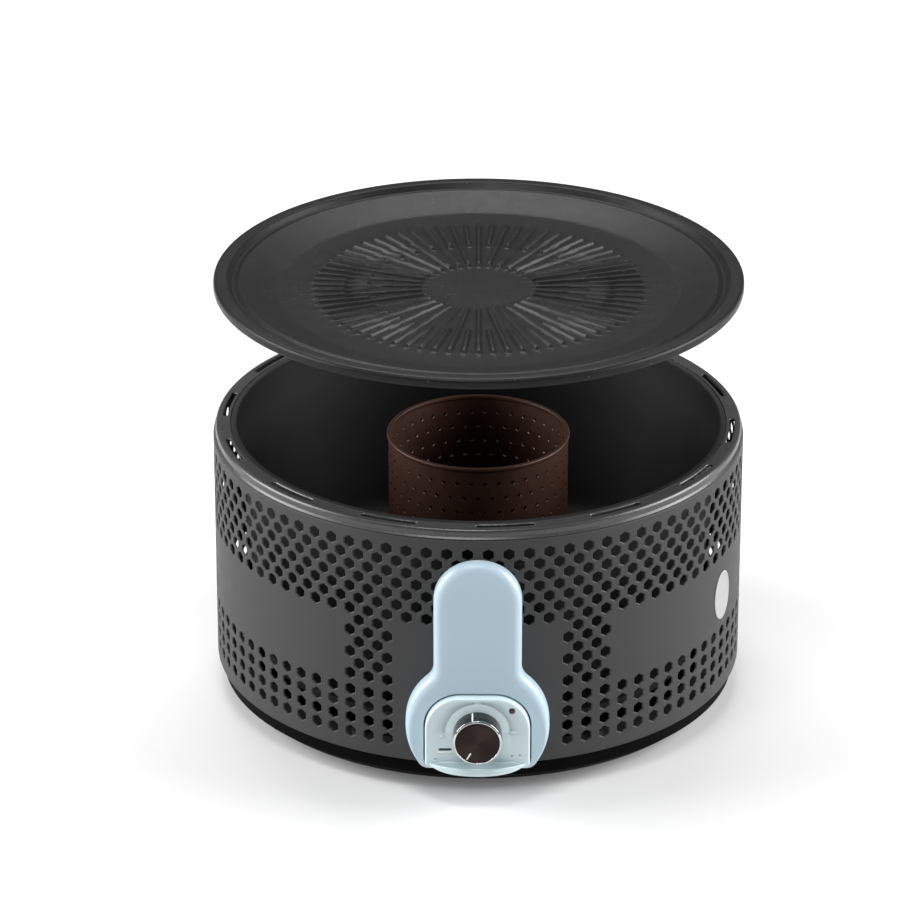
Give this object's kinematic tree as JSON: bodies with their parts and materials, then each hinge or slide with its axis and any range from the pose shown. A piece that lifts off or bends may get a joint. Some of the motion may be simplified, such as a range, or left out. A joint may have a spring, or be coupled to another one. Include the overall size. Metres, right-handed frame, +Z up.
{
  "type": "portable tabletop grill",
  "caption": "Round fan-blown tabletop charcoal grill: perforated drum, lift-out bowl and fire basket, ribbed non-stick plate held above, blue front panel with a speed knob.",
  "frame": {"origin": "centre of the flat boss under the base pan, on the table", "axes": "+Z up along the drum's axis, the control panel faces -Y, +X to the right when seen from the front"},
  "size_m": [0.35, 0.3785, 0.2905],
  "materials": {
    "drum_paint": "smooth dark grey powder coat",
    "ring_paint": "smooth mid grey powder coat",
    "base_black": "moulded black",
    "foot_rubber": "matt black",
    "screw_steel": "zinc plated",
    "shield_steel": "pressed sheet",
    "fan_black": "moulded black",
    "motor_steel": "drawn can",
    "duct_steel": "spun sheet",
    "bowl_enamel": "satin black heat-resistant coating",
    "tray_steel": "pressed stainless sheet",
    "basket_steel": "heat-darkened perforated sheet",
    "plate_coating": "cast, black speckled non-stick coating",
    "cover_blue": "glossy pale steel blue",
    "control_pale": "satin pale blue-grey",
    "board_green": "solder mask",
    "pot_metal": "pressed can",
    "knob_black": "gloss black",
    "knob_bright": "polished",
    "knob_spun": "spun, dark brown anodised",
    "mark_white": "white ink",
    "lens_red": "clear dark red",
    "port_metal": "pressed can",
    "holder_black": "moulded black",
    "cell_sleeve": "shrink sleeve",
    "lead_red": "insulated lead",
    "badge_grey": "blank, satin"
  },
  "bodies": {
    "drum": {"outer_shell": "drum_paint", "top_ring": "ring_paint", "ring_screws": "screw_steel", "blank_badge": "badge_grey", "base_pan": "base_black", "rubber_feet": "foot_rubber", "base_screws": "screw_steel", "heat_shield": "shield_steel", "shield_screws": "screw_steel", "fan_housing": "fan_black", "housing_screws": "screw_steel", "fan_motor": "motor_steel", "motor_screws": "screw_steel", "air_duct": "duct_steel", "front_cover": "cover_blue", "cover_screws": "screw_steel", "control_plate": "control_pale", "board_screws": "screw_steel", "control_board": "board_green", "potentiometer": "pot_metal", "pot_nut": "screw_steel", "led_lens": "lens_red", "charging_port": "port_metal", "battery_holder": "holder_black", "battery_cells": "cell_sleeve", "battery_leads": "lead_red", "motor_leads": "lead_red"},
    "bowl": {"inner_bowl": "bowl_enamel", "air_cap": "tray_steel", "ignition_tray": "tray_steel"},
    "basket": {"charcoal_basket": "basket_steel", "basket_foot": "basket_steel", "basket_grate": "basket_steel"},
    "plate": {"grill_plate": "plate_coating"},
    "knob": {"speed_knob": "knob_black", "knob_ring": "knob_bright", "knob_face": "knob_spun", "knob_pointer": "mark_white", "pot_shaft": "pot_metal"},
    "fan": {"fan_shaft": "motor_steel", "fan_impeller": "fan_black"}
  },
  "joints": [
    {"name": "bowl_lift", "type": "slide", "parent": "drum", "child": "bowl", "axis": [0, 0, 1], "range_m": [0, 0.15]},
    {"name": "basket_lift", "type": "slide", "parent": "bowl", "child": "basket", "axis": [0, 0, 1], "range_m": [0, 0.145]},
    {"name": "plate_lift", "type": "slide", "parent": "basket", "child": "plate", "axis": [0, 0, 1], "range_m": [-0.0952, 0.03]},
    {"name": "knob_turn", "type": "hinge", "parent": "drum", "child": "knob", "pos_m": [0, -0.2, 0.0525], "axis": [0, 1, 0], "range_deg": [0, 300]},
    {"name": "fan_spin", "type": "hinge", "parent": "drum", "child": "fan", "pos_m": [0, 0, 0.03], "axis": [0, 0, 1], "continuous": true}
  ]
}
